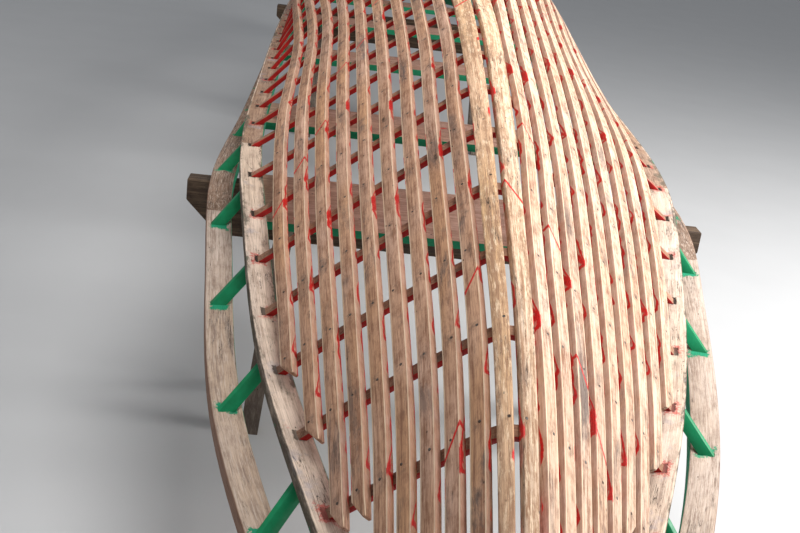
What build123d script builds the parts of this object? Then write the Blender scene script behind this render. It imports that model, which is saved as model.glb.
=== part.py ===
from build123d import *
import math
import os

# Upturned currach frame on two trestles. Millimetres, Z up from the floor,
# X across the boat, Y along it with the bow towards -Y.

# Length of the boat, from the middle to each end
HALF_LENGTH = 3716.0
BOW_Y = -HALF_LENGTH

# Ribs and laths
RIB_PITCH = 172.7
FIRST_RIB_Y = BOW_Y + 284.0
LAST_RIB_SETBACK = 200.0
RIB_COUNT = int((HALF_LENGTH - LAST_RIB_SETBACK - FIRST_RIB_Y) / RIB_PITCH) + 1
RIB_WIDTH = 20.0
RIB_THICKNESS = 12.0
RIBS_PER_GROUP = 7
RIB_TENON = 18.0
LATHS_PER_SIDE = 9
LATH_WIDTH = 31.0
LATH_THICKNESS = 17.0
LATH_SEAT = 0.6
LATH_EDGE_MARGIN = 28.0
LATH_OVERHANG = 48.0
LATH_POINT = 32.0
LATH_TIP_WIDTH = 6.0
LATH_STATION_STEP = 2
LATH_BUTT_RIBS = (11, 12)
LATH_BUTT_GAP = 1.0
DENSE_UNTIL_Y = BOW_Y + 2916.0
KEEL_BOARD_THICKNESS = 17.0
KEEL_GAP = 6.0

# Gunwales: the lower one takes the ribs, the upper one lies nearest the floor
LOWER_GUNWALE_WIDTH = 55.0
LOWER_GUNWALE_THICKNESS = 30.0
UPPER_GUNWALE_WIDTH = 62.0
UPPER_GUNWALE_THICKNESS = 38.0
GUNWALE_GAP = 70.0
LOWER_SCARF_Y = BOW_Y + 1846.0
UPPER_SCARF_Y = BOW_Y + 1656.0
SCARF_LENGTH = 190.0
GUNWALE_SECTIONS = 31
RAIL_BOW_Y = BOW_Y + 16.0

# Struts between the gunwales
STRUT_PITCH = 307.0
FIRST_STRUT_Y = BOW_Y + 673.0
LAST_STRUT_SETBACK = 250.0
STRUT_COUNT = int((HALF_LENGTH - LAST_STRUT_SETBACK - FIRST_STRUT_Y) / STRUT_PITCH) + 1
STRUT_WIDTH = 34.0
STRUT_DEPTH = 14.0
STRUT_LEAN = 58.0
STRUT_TENON = 5.0
MORTISE_CLEARANCE = 0.3

# Stem and transom
STEM_WIDTH = 56.0
STEM_BACK_Y = BOW_Y + 246.0
STEM_SEAT = 0.6
KEEL_START_Y = BOW_Y + 126.0
TRANSOM_THICKNESS = 26.0
TRANSOM_MARGIN = 8.0

# Thwarts, as rows of a table: name, distance of the board's middle from the
# bow, board width
THWARTS = [
    ("fore_thwart", 1621.0, 225.0),
    ("second_thwart", 2246.0, 225.0),
    ("third_thwart", 3236.0, 225.0),
    ("fourth_thwart", 4156.0, 225.0),
    ("fifth_thwart", 5076.0, 225.0),
    ("stern_seat", 6366.0, 330.0),
]
THWART_THICKNESS = 22.0
THWART_CLEARANCE = 0.6
THWART_END_INSET = 10.0

# Trestles
TRESTLE_Y = {"bow_trestle": BOW_Y + 1936.0, "stern_trestle": HALF_LENGTH - 2066.0}
BEAM_LENGTH = 1420.0
BEAM_THICKNESS = 60.0
BEAM_DEPTH = 150.0
BEAM_END_FACE = 58.0
BEAM_END_CHAMFER = 92.0
BEAM_CLEARANCE = 0.9
LEG_SIZE = 50.0
LEG_TOP_X = 430.0
LEG_FOOT_X = 485.0
LEG_SPLAY = 130.0
LEG_TOP_GAP = 14.0
LEG_CLEARANCE = 0.3

# The hull's form. Columns: distance along the gunwale from the nearer end,
# half width to the ribs' seats, height of the seats, depth from crown to seats
# in the rib's plane, forward rake of that plane as a slope, flare over the
# chord in degrees, crown tightness as a share of the chord, girth from the
# crown to the first lath, pitch of the next laths, and keel board width.
HULL_FROM_BOW = [
    (96.0, 26.0, 303.0, 60.0, 0.55, 6.0, 0.30, 47.0, 47.5, 22.0),
    (276.0, 130.0, 374.0, 136.0, 0.50, 6.0, 0.15, 49.0, 47.5, 23.0),
    (446.0, 208.0, 440.0, 196.0, 0.44, 6.0, 0.09, 51.0, 47.5, 24.5),
    (626.0, 277.0, 506.0, 253.0, 0.37, 6.0, 0.068, 54.0, 48.5, 27.0),
    (806.0, 344.0, 558.0, 299.0, 0.30, 6.0, 0.055, 57.0, 50.7, 30.0),
    (1076.0, 422.0, 626.0, 336.0, 0.18, 6.0, 0.043, 66.0, 53.1, 35.0),
    (1386.0, 480.0, 717.0, 357.0, 0.06, 2.5, 0.06, 76.0, 57.2, 40.0),
    (1836.0, 541.0, 818.0, 367.0, 0.0, 2.5, 0.04, 80.0, 59.5, 46.0),
    (2566.0, 558.0, 852.0, 404.0, 0.0, 15.0, 0.15, 93.0, 59.0, 50.0),
    (3466.0, 571.0, 858.0, 430.0, 0.0, 38.0, 0.24, 115.0, 64.0, 50.0),
]
HULL_FROM_STERN = [
    (2966.0, 572.0, 852.0, 432.0, 0.0, 40.0, 0.26, 116.0, 65.0, 50.0),
    (1966.0, 542.0, 832.0, 414.0, 0.0, 36.0, 0.26, 108.0, 61.0, 46.0),
    (966.0, 458.0, 784.0, 366.0, 0.0, 28.0, 0.26, 88.0, 54.0, 38.0),
    (16.0, 338.0, 704.0, 290.0, 0.0, 20.0, 0.26, 62.0, 47.0, 30.0),
]
HULL = [(BOW_Y + place, *form) for place, *form in HULL_FROM_BOW]
HULL += [(HALF_LENGTH - place, *form) for place, *form in HULL_FROM_STERN]

# How far the upper gunwale stands outside the lower one. Columns: distance
# from the bow, distance between the two centre lines.
FLARE_FROM_BOW = [
    (76.0, 22.0),
    (516.0, 76.0),
    (816.0, 87.0),
    (1076.0, 86.0),
    (1416.0, 76.0),
    (1866.0, 68.0),
    (2266.0, 46.0),
    (2816.0, 30.0),
    (3716.0, 20.0),
    (7416.0, 20.0),
]
FLARE = [(BOW_Y + place, flare) for place, flare in FLARE_FROM_BOW]


def smooth(table, y, column):
    """A smooth curve through one column of a table, by cubic spans."""
    last = len(table) - 1
    i = 0
    while i < last - 1 and y > table[i + 1][0]:
        i += 1

    def slope(j):
        low, high = max(j - 1, 0), min(j + 1, last)
        return (table[high][column] - table[low][column]) / (table[high][0] - table[low][0])

    span = table[i + 1][0] - table[i][0]
    t = (y - table[i][0]) / span
    a, b = table[i][column], table[i + 1][column]
    if t < 0 or t > 1:
        end = i if t < 0 else i + 1
        return table[end][column] + slope(end) * (y - table[end][0])
    ta, tb = slope(i) * span, slope(i + 1) * span
    return (
        a * (2 * t**3 - 3 * t**2 + 1)
        + ta * (t**3 - 2 * t**2 + t)
        + b * (3 * t**2 - 2 * t**3)
        + tb * (t**3 - t**2)
    )


class Section:
    """The hull's half section at one place: a crown arc, then a bilge arc."""

    def __init__(self, y):
        self.y = y
        self.half, self.seat, self.depth, rake, flare, share, *strips = (
            smooth(HULL, y, column) for column in range(1, 10)
        )
        self.first_lath, self.pitch, self.board_width = strips
        self.rake = math.atan(rake)
        chord = math.hypot(self.half, self.depth)
        end = math.atan2(self.depth, self.half) + math.radians(flare)
        self.end_angle = end
        d1 = share * chord
        along = self.half * math.cos(end) + self.depth * math.sin(end)
        d2 = (chord**2 - 2 * d1 * self.half) / (2 * (along + d1 * (1 - math.cos(end))))
        weight = d1 + d2
        self.joint_x = (d2 * d1 + d1 * (self.half - d2 * math.cos(end))) / weight
        self.joint_z = (d2 * self.depth + d1 * d2 * math.sin(end)) / weight
        drop = self.depth - self.joint_z
        self.turn = 2 * math.atan2(drop, self.joint_x)
        self.crown_radius = (self.joint_x**2 + drop**2) / (2 * drop)
        reach = math.hypot(self.half - self.joint_x, self.joint_z)
        self.bilge_radius = reach / (2 * math.sin((end - self.turn) / 2))
        self.crown_girth = self.crown_radius * self.turn
        self.girth = self.crown_girth + self.bilge_radius * (end - self.turn)

    def at(self, s, inside=0.0):
        """In-plane point and slope angle at girth s from the crown."""
        if s <= self.crown_girth:
            a = s / self.crown_radius
            x = self.crown_radius * math.sin(a)
            z = self.depth - self.crown_radius * (1 - math.cos(a))
        elif s <= self.girth:
            a = self.turn + (s - self.crown_girth) / self.bilge_radius
            x = self.joint_x + self.bilge_radius * (math.sin(a) - math.sin(self.turn))
            z = self.joint_z - self.bilge_radius * (math.cos(self.turn) - math.cos(a))
        else:
            a = self.end_angle
            x = self.half + (s - self.girth) * math.cos(a)
            z = -(s - self.girth) * math.sin(a)
        return x - inside * math.sin(a), z - inside * math.cos(a), a

    def place(self, x, z):
        """The point of the row frame for an in-plane point."""
        return Vector(x, self.y - z * math.sin(self.rake), self.seat + z * math.cos(self.rake))

    def plane(self):
        """The rib's plane: its x is athwart and its y points to the crown."""
        up = Vector(0, -math.sin(self.rake), math.cos(self.rake))
        return Plane(origin=self.place(0, 0), x_dir=(1, 0, 0), z_dir=Vector(1, 0, 0).cross(up))


def hoop_outline(section, grow):
    """Corner and arc points of a hoop in its own plane, grown all round."""
    stops = [0, section.crown_girth / 2, section.crown_girth]
    stops += [(section.crown_girth + section.girth) / 2, section.girth]
    stops += [section.girth + RIB_TENON + grow]
    return [
        [section.at(s, inside)[:2] for s in stops] for inside in (-grow, RIB_THICKNESS + grow)
    ]


def hoop(section, grow):
    """A hoop's outline: a crown arc, an arc down each bilge and two tenons."""
    outer, inner = hoop_outline(section, grow)
    with BuildSketch(section.plane()) as sketch:
        with BuildLine():
            for crown, _, shoulder, bilge, seat, end in (outer, inner):
                ThreePointArc((-shoulder[0], shoulder[1]), crown, shoulder)
                for side in (1, -1):
                    points = [(side * x, z) for x, z in (shoulder, bilge, seat, end)]
                    ThreePointArc(*points[:3])
                    Line(*points[2:])
            for side in (1, -1):
                Line(*[(side * points[5][0], points[5][1]) for points in (outer, inner)])
        make_face()
    return sketch.sketch


def rib(y, grow=0.0):
    """A bent hoop, bevelled to the hull by lofting from one side to the other."""
    half = RIB_WIDTH / 2 + grow
    with BuildPart() as piece:
        loft([hoop(Section(y + side * half), grow) for side in (-1, 1)], ruled=True)
    return piece.part


def strip_section(section, edges, thickness):
    """A strip's cross section where it lies on a rib, between two girths."""
    x, z, angle = section.at(sum(edges) / 2, -LATH_SEAT)
    across = Vector(
        math.cos(angle),
        math.sin(angle) * math.sin(section.rake),
        -math.sin(angle) * math.cos(section.rake),
    )
    up = Vector(0, -math.sin(section.rake), math.cos(section.rake))
    along = Vector(1, 0, 0).cross(up)
    plane = Plane(origin=section.place(x, z), x_dir=across, z_dir=along)
    with BuildSketch(plane) as sketch:
        Rectangle(edges[1] - edges[0], thickness, align=(Align.CENTER, Align.MIN))
    return sketch.sketch


def strip(places, edges_at, thickness, tip=None):
    """A strip bent along the hull through the places given, with its tip cut."""
    faces = [strip_section(section, edges_at(section), thickness) for section in map(Section, places)]
    with BuildPart() as piece:
        loft(faces)
        if tip is not None:
            section = Section(tip)
            inboard = edges_at(section)[0]
            end = strip_section(section, (inboard, inboard + LATH_TIP_WIDTH), thickness)
            loft([end, faces[0]], ruled=True)
    return piece.part


def butted(whole, section):
    """A strip in two lengths, whose ends meet on the middle of a rib."""
    pieces = []
    for way, keep in ((-1, Keep.BOTTOM), (1, Keep.TOP)):
        with BuildPart() as piece:
            add(whole)
            split(bisect_by=section.plane().offset(way * LATH_BUTT_GAP / 2), keep=keep)
        pieces.append(piece.part)
    return together(pieces)


def lath_girth(number, section):
    """Where a lath's middle runs on the girth."""
    return section.first_lath + (number - 1) * section.pitch


def lath_edges(number):
    """A lath's two edges on the girth, as a function of the section."""

    def edges_at(section):
        middle = lath_girth(number, section)
        return middle - LATH_WIDTH / 2, middle + LATH_WIDTH / 2

    return edges_at


def board_edges(section):
    """A keel board's two edges on the girth."""
    return KEEL_GAP / 2, KEEL_GAP / 2 + section.board_width


def strip_places(start, ribs):
    """Where a strip is fitted: each rib near the bow, then each second one."""
    bow = [y for y in ribs if y < DENSE_UNTIL_Y]
    rest = [y for y in ribs if y >= DENSE_UNTIL_Y]
    stern = rest[:-1:LATH_STATION_STEP] + rest[-1:]
    return [start] + bow + stern + [HALF_LENGTH]


def lath_places(number):
    """The places that a lath passes, from its tip to the transom."""
    sections = [Section(y) for y in rib_places]
    ribs = [at.y for at in sections if at.girth - lath_girth(number, at) >= LATH_EDGE_MARGIN]
    return strip_places(ribs[0] - (LATH_OVERHANG - LATH_POINT), ribs)


class Rail:
    """A gunwale's frame at one place: its middle, outward and upward."""

    def __init__(self, y, outward, drop):
        def middle(at):
            section = Section(at)
            return Vector(section.half, at, section.seat)

        step = 1.0
        self.along = (middle(y + step) - middle(y - step)).normalized()
        self.out = Vector(self.along.Y, -self.along.X, 0).normalized()
        self.up = self.out.cross(self.along)
        self.top = middle(y) + self.out * outward - self.up * drop

    def below(self, depth):
        return self.top - self.up * depth


def lower_rail(y):
    return Rail(y, 0.0, 0.0)


def upper_rail(y):
    return Rail(y, smooth(FLARE, y, 1), LOWER_GUNWALE_THICKNESS + GUNWALE_GAP)


def gunwale(rail_at, width, thickness, cutters):
    """A whole gunwale, swept from bow to transom, with its mortises."""
    step = (HALF_LENGTH - RAIL_BOW_Y) / (GUNWALE_SECTIONS - 1)
    faces = []
    for i in range(GUNWALE_SECTIONS):
        rail = rail_at(RAIL_BOW_Y + step * i)
        with BuildSketch(Plane(origin=rail.top, x_dir=rail.out, z_dir=-rail.along)) as sketch:
            Rectangle(width, thickness, align=(Align.CENTER, Align.MAX))
        faces.append(sketch.sketch)
    with BuildPart() as piece:
        loft(faces)
        split(bisect_by=Plane(origin=(STEM_WIDTH / 2, 0, 0), z_dir=(1, 0, 0)))
        split(bisect_by=Plane(origin=(0, HALF_LENGTH - TRANSOM_THICKNESS, 0), z_dir=(0, -1, 0)))
        split(bisect_by=Plane(origin=(0, -HALF_LENGTH, 0), z_dir=(0, 1, 0)))
        add(cutters, mode=Mode.SUBTRACT)
    return piece.part


def scarfed(whole, rail, scarf_y, thickness):
    """A gunwale parted by a sloping scarf: the bow length, then the rest."""
    slope = Vector(0, SCARF_LENGTH, -thickness).normalized()
    normal = Vector(1, 0, 0).cross(slope)
    cut = Plane(origin=Vector(0, scarf_y, rail.top.Z), z_dir=normal)
    pieces = []
    for keep in (Keep.TOP, Keep.BOTTOM):
        with BuildPart() as piece:
            add(whole)
            split(bisect_by=cut, keep=keep)
        pieces.append(piece.part)
    return sorted(pieces, key=lambda part: part.center().Y)


def strut(y, grow=0.0):
    """A straight strut from the upper gunwale up to the lower one."""
    upper, lower = upper_rail(y), lower_rail(y + STRUT_LEAN)
    foot, head = upper.top, lower.below(LOWER_GUNWALE_THICKNESS)
    axis = head - foot
    ends = [(upper, foot, -1), (lower, head, 1)]
    faces = []
    for rail, point, way in ends:
        point += axis * (way * (STRUT_TENON + grow) / axis.dot(rail.up))
        with BuildSketch(Plane(origin=point, x_dir=rail.along, z_dir=rail.up)) as sketch:
            Rectangle(STRUT_DEPTH + 2 * grow, STRUT_WIDTH + 2 * grow)
        faces.append(sketch.sketch)
    with BuildPart() as piece:
        loft(faces, ruled=True)
    return piece.part


def thwart(y, width):
    """A thwart board, tilted with the sheer, its ends under the gunwales."""
    edges = []
    for share in (-0.5, -0.25, 0, 0.25, 0.5):
        rail = lower_rail(y + share * width)
        edges.append(rail.below(LOWER_GUNWALE_THICKNESS) - rail.out * LOWER_GUNWALE_WIDTH / 2)
    ahead, behind = edges[0], edges[-1]
    rise = (behind.Z - ahead.Z) / (behind.Y - ahead.Y)
    along = Vector(0, 1, rise).normalized()
    sag = max(ahead.Z + rise * (edge.Y - ahead.Y) - edge.Z for edge in edges)
    plane = Plane(
        origin=Vector(0, ahead.Y, ahead.Z - sag - THWART_CLEARANCE),
        x_dir=(1, 0, 0),
        z_dir=Vector(1, 0, 0).cross(along),
    )
    reach = [
        Section(y + side * width / 2).half - LOWER_GUNWALE_WIDTH / 2 + THWART_END_INSET
        for side in (-1, 1)
    ]
    with BuildPart() as piece:
        with BuildSketch(plane):
            with BuildLine():
                Polyline((-reach[0], 0), (reach[0], 0), (reach[1], width), (-reach[1], width), close=True)
            make_face()
        extrude(amount=-THWART_THICKNESS)
    return piece.part


def stem():
    """The block at the bow that the gunwales butt on and the keel boards crown."""
    top = []
    for y in (STEM_BACK_Y, (STEM_BACK_Y + KEEL_START_Y) / 2, KEEL_START_Y):
        section = Section(y)
        x, z, angle = section.at(sum(board_edges(section)) / 2)
        z -= (STEM_WIDTH / 2 - x) * math.tan(angle) + STEM_SEAT
        point = section.place(0, z)
        top.append((point.Y, point.Z))
    fall = (top[-1][1] - top[-2][1]) / (top[-1][0] - top[-2][0])
    top.append((-HALF_LENGTH, top[-1][1] - fall * (HALF_LENGTH + top[-1][0])))
    foot = upper_rail(RAIL_BOW_Y).below(UPPER_GUNWALE_THICKNESS)
    heel = upper_rail(STEM_BACK_Y).below(UPPER_GUNWALE_THICKNESS)
    with BuildPart() as piece:
        with BuildSketch(Plane.YZ.offset(-STEM_WIDTH / 2)):
            with BuildLine():
                Polyline(*top, (top[-1][0], foot.Z), (heel.Y, heel.Z), close=True)
            make_face()
        extrude(amount=STEM_WIDTH)
    return piece.part


def transom():
    """The stern board, cut to the hull's section, with the gunwales on its face."""
    section = Section(HALF_LENGTH)
    rail = upper_rail(HALF_LENGTH)
    wide = rail.top.X + UPPER_GUNWALE_WIDTH / 2 + TRANSOM_MARGIN
    low = rail.below(UPPER_GUNWALE_THICKNESS).Z
    outer = hoop_outline(section, 0.0)[0]
    with BuildPart() as piece:
        with BuildSketch(Plane.XZ.offset(-HALF_LENGTH)):
            with BuildLine():
                crown, _, shoulder, bilge, seat, _ = [(x, section.seat + z) for x, z in outer]
                ThreePointArc((-shoulder[0], shoulder[1]), crown, shoulder)
                for side in (1, -1):
                    ThreePointArc(*[(side * x, z) for x, z in (shoulder, bilge, seat)])
                    Polyline(
                        (side * seat[0], seat[1]),
                        (side * wide, seat[1]),
                        (side * wide, low),
                        (0, low),
                    )
            make_face()
        extrude(amount=TRANSOM_THICKNESS)
    return piece.part


def beam_top(y):
    """The highest level for a beam under the upper gunwales at this place."""
    reach = BEAM_THICKNESS / 2 + abs(upper_rail(y).out.Y) * UPPER_GUNWALE_WIDTH / 2
    rails = [upper_rail(y + side * reach) for side in (-1, 0, 1)]
    return min(rail.below(UPPER_GUNWALE_THICKNESS).Z for rail in rails) - BEAM_CLEARANCE


def beam(y, grow=0.0):
    """A deep timber on edge, with the lower corners of its ends cut away."""
    top, end = beam_top(y) + grow, BEAM_LENGTH / 2 + grow
    low = top - BEAM_DEPTH - 2 * grow
    with BuildPart() as piece:
        with BuildSketch(Plane.XZ.offset(-y - BEAM_THICKNESS / 2 - grow)):
            with BuildLine():
                Polyline(
                    (-end, top),
                    (end, top),
                    (end, top - BEAM_END_FACE),
                    (end - BEAM_END_CHAMFER, low),
                    (BEAM_END_CHAMFER - end, low),
                    (-end, top - BEAM_END_FACE),
                    close=True,
                )
            make_face()
        extrude(amount=BEAM_THICKNESS + 2 * grow)
    return piece.part


def legs(y):
    """Four splayed legs, notched where they clasp the beam."""
    top = beam_top(y) - LEG_TOP_GAP
    under = beam_top(y) - BEAM_DEPTH
    hip = BEAM_THICKNESS / 2 + LEG_SIZE / 2
    splay_top = LEG_SPLAY + (hip - LEG_SPLAY) * top / under
    with BuildPart() as piece:
        for x_side in (-1, 1):
            for y_side in (-1, 1):
                faces = []
                for x, off, z in ((LEG_FOOT_X, LEG_SPLAY, 0), (LEG_TOP_X, splay_top, top)):
                    with BuildSketch(Plane(origin=(x_side * x, y + y_side * off, z))) as foot:
                        Rectangle(LEG_SIZE, LEG_SIZE)
                    faces.append(foot.sketch)
                loft(faces, ruled=True)
        add(beam(y, LEG_CLEARANCE), mode=Mode.SUBTRACT)
    return piece.part


def finish(part, label):
    """Names a piece and writes it."""
    part.label = label
    export_step(part, "parts/" + label + ".step")


def finish_pair(part, label):
    """Writes a right-hand piece and its mirror image."""
    with BuildPart() as left:
        mirror(part, about=Plane.YZ)
    finish(part, label % "right")
    finish(left.part, label % "left")


def together(parts):
    """Like pieces that don't touch, in one node."""
    return Compound(children=[solid for part in parts for solid in part.solids()])


os.makedirs("parts", exist_ok=True)
rib_places = [FIRST_RIB_Y + RIB_PITCH * i for i in range(RIB_COUNT)]
strut_places = [FIRST_STRUT_Y + STRUT_PITCH * i for i in range(STRUT_COUNT)]

# Ribs, in groups from bow to stern
for first in range(0, RIB_COUNT, RIBS_PER_GROUP):
    group = [rib(y) for y in rib_places[first : first + RIBS_PER_GROUP]]
    finish(together(group), "ribs_%d" % (first // RIBS_PER_GROUP + 1))

# Laths, numbered from the keel out to the gunwale, each in two lengths
for number in range(1, LATHS_PER_SIDE + 1):
    places = lath_places(number)
    tip = places[0] - LATH_POINT
    whole = strip(places, lath_edges(number), LATH_THICKNESS, tip)
    butt = rib_places[LATH_BUTT_RIBS[number % 2]]
    finish_pair(butted(whole, Section(butt)), "lath_%s_" + str(number))

# Keel boards, from the stem to the transom
keel_places = strip_places(KEEL_START_Y, rib_places)
finish_pair(strip(keel_places, board_edges, KEEL_BOARD_THICKNESS), "keel_board_%s")

# Gunwales, each in a bow length and a main length, and the struts between
rib_cutters = [rib(y, MORTISE_CLEARANCE) for y in rib_places]
strut_cutters = [strut(y, MORTISE_CLEARANCE) for y in strut_places]
cutters = rib_cutters + strut_cutters
whole = gunwale(lower_rail, LOWER_GUNWALE_WIDTH, LOWER_GUNWALE_THICKNESS, cutters)
bow, main = scarfed(whole, lower_rail(LOWER_SCARF_Y), LOWER_SCARF_Y, LOWER_GUNWALE_THICKNESS)
finish_pair(bow, "lower_gunwale_bow_%s")
finish_pair(main, "lower_gunwale_%s")
whole = gunwale(upper_rail, UPPER_GUNWALE_WIDTH, UPPER_GUNWALE_THICKNESS, strut_cutters)
bow, main = scarfed(whole, upper_rail(UPPER_SCARF_Y), UPPER_SCARF_Y, UPPER_GUNWALE_THICKNESS)
finish_pair(bow, "upper_gunwale_bow_%s")
finish_pair(main, "upper_gunwale_%s")
finish_pair(together([strut(y) for y in strut_places]), "struts_%s")

# Thwarts, stem, transom and trestles
for label, setback, width in THWARTS:
    finish(thwart(BOW_Y + setback, width), label)
finish(stem(), "stem_block")
finish(transom(), "transom")
for label, y in TRESTLE_Y.items():
    finish(beam(y), label + "_beam")
    finish(legs(y), label + "_legs")
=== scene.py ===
import math

import bmesh
import bpy
import numpy as np
from mathutils import Matrix, Vector


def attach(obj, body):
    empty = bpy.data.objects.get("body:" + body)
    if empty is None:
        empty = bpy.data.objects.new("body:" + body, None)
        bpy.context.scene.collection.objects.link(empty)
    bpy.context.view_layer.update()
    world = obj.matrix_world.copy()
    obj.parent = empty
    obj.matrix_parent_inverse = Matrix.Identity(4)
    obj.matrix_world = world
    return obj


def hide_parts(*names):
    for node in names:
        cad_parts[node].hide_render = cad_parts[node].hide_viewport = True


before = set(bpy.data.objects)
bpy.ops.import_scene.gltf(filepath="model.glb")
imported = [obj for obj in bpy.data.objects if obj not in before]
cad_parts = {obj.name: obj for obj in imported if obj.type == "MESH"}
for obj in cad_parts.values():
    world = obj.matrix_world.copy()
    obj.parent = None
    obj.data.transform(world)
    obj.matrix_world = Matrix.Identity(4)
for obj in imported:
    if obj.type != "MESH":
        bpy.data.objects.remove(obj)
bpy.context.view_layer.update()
scene = bpy.context.scene


# Laths
# Nine long sawn softwood strips on each side, nailed over the ribs from the
# keel boards out to the gunwale. Their outer faces were under the canvas and
# stayed bare; the inner faces and parts of the edges carry the red inside paint.
LATHS_PER_SIDE = 9
LATH_EDGE_WEAR = 0.0016
LATH_BUMP = 0.0009
LATH_DARK = (0.27, 0.13, 0.075, 1)
LATH_GREY = (0.115, 0.09, 0.082, 1)
FRESH_PINK, FRESH_BROWN = (0.70, 0.46, 0.36, 1), (0.58, 0.32, 0.21, 1)
# Cream of worn arrises and raised grain; along the lath arrises it is also a painted highlight.
CREAM_WEAR_AND_HIGHLIGHT = (0.86, 0.66, 0.46, 1)
NAIL_SOOT = (0.13, 0.085, 0.065, 1)
LATH_RED = (0.62, 0.016, 0.012, 1)
LATH_RED_ROUGHNESS = (0.42, 0.42, 0.42, 1)
RIB_GROUPS = 6
RIB_PITCH = 0.1727
MERGE_DISTANCE = 0.00002
POINT_LENGTH, END_MARGIN, SECTION_STEP = 0.035, 0.002, 0.02
FOOT_HEIGHT, CROWN_DEPTH = 0.004, 0.002
LEAST_THICKNESS = 0.004
GRAIN_SHIFT, BAY_SHIFT = 7.3, 50.0
RIGHT_SIDE_SEED = 20
NAIL_RADIUS, NAIL_DEPTH = 0.0029, 0.0010
NAIL_RIM, NAIL_RISE = 0.0008, 0.0003
NAIL_SLIP_ALONG, LATH_NAIL_SLIP = 0.003, 0.006


def bare_copy(node, wear):
    """A copy of a CAD node, merged, with its long edges worn round."""
    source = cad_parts[node]
    bpy.ops.object.select_all(action="DESELECT")
    piece = source.copy()
    piece.data = source.data.copy()
    piece.name = node + "_timber"
    for key in list(piece.keys()):
        del piece[key]
    scene.collection.objects.link(piece)
    piece.parent = None
    piece.matrix_world = Matrix.Identity(4)
    piece.select_set(True)
    bpy.context.view_layer.objects.active = piece
    bpy.ops.object.mode_set(mode="EDIT")
    bpy.ops.mesh.select_all(action="SELECT")
    bpy.ops.mesh.remove_doubles(threshold=MERGE_DISTANCE)
    bpy.ops.mesh.tris_convert_to_quads(face_threshold=0.2, shape_threshold=0.7)
    bpy.ops.object.mode_set(mode="OBJECT")
    round_off = piece.modifiers.new("worn edges", "BEVEL")
    round_off.width = wear
    round_off.segments = 2
    round_off.limit_method = "ANGLE"
    round_off.angle_limit = math.radians(40)
    round_off.use_clamp_overlap = True
    bpy.ops.object.modifier_apply(modifier=round_off.name)
    bpy.ops.object.shade_smooth_by_angle(angle=math.radians(35))
    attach(piece, "root")
    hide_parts(node)
    return piece


def corners(piece):
    """The mesh's points, and rows of what lies at places along Y.

    A row holds Y, then X and Z of the outer face's inboard corner, of its
    outboard corner, and of the section's low and high corner.
    """
    mesh = piece.data
    points = np.empty(len(mesh.vertices) * 3)
    mesh.vertices.foreach_get("co", points)
    points = points.reshape(-1, 3)
    ends = np.empty(len(mesh.edges) * 2, dtype=int)
    mesh.edges.foreach_get("vertices", ends)
    a, b = points[ends.reshape(-1, 2)].transpose(1, 0, 2)
    low, high = points[:, 1].min(), points[:, 1].max()
    rows = []
    for y in np.arange(low + POINT_LENGTH, high - END_MARGIN, SECTION_STEP):
        cross = (a[:, 1] - y) * (b[:, 1] - y) < 0
        t = ((y - a[cross, 1]) / (b[cross, 1] - a[cross, 1]))[:, None]
        cut = np.abs((a[cross] + t * (b[cross] - a[cross]))[:, (0, 2)])
        inboard, outboard = cut[cut[:, 1].argmax()], cut[cut[:, 0].argmax()]
        rows.append((y, *inboard, *outboard, *cut.min(0), *cut.max(0)))
    rows = np.array(rows)
    # One more row past each end, carried on from the nearest ones.
    first = rows[0] + (rows[0] - rows[4])
    last = rows[-1] + (rows[-1] - rows[-5])
    return points, np.vstack([first, rows, last])


def hoops():
    """Each rib's plane, as its foot's Y and Z and its rake, from bow to stern."""
    planes = []
    for number in range(1, RIB_GROUPS + 1):
        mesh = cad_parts["ribs_%d" % number].data
        form = bmesh.new()
        form.from_mesh(mesh)
        bmesh.ops.remove_doubles(form, verts=form.verts, dist=MERGE_DISTANCE)
        left = set(form.verts)
        while left:
            queue = [left.pop()]
            hoop = []
            while queue:
                point = queue.pop()
                hoop.append(point.co.copy())
                near = {edge.other_vert(point) for edge in point.link_edges} & left
                left -= near
                queue.extend(near)
            z = np.array([co.z for co in hoop])
            y = np.array([co.y for co in hoop])
            low, top = z < z.min() + FOOT_HEIGHT, z > z.max() - CROWN_DEPTH
            rake = (y[top].mean() - y[low].mean()) / (z[top].mean() - z[low].mean())
            planes.append((y[low].mean(), z[low].mean(), rake))
        form.free()
    return sorted(planes)


def crossings(rows):
    """Where a strip's outer face passes each rib: its number, the row and Y."""
    places = []
    y = rows[:, 0]
    z = (rows[:, 2] + rows[:, 4]) / 2
    for number, (foot_y, foot_z, rake) in enumerate(hoop_planes):
        off = y - foot_y - (z - foot_z) * rake
        hit = np.nonzero((off[:-1] < 0) & (off[1:] >= 0))[0]
        if len(hit):
            k = hit[0]
            t = off[k] / (off[k] - off[k + 1])
            places.append((number, k + t, y[k] + t * (y[k + 1] - y[k])))
    return places


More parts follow.
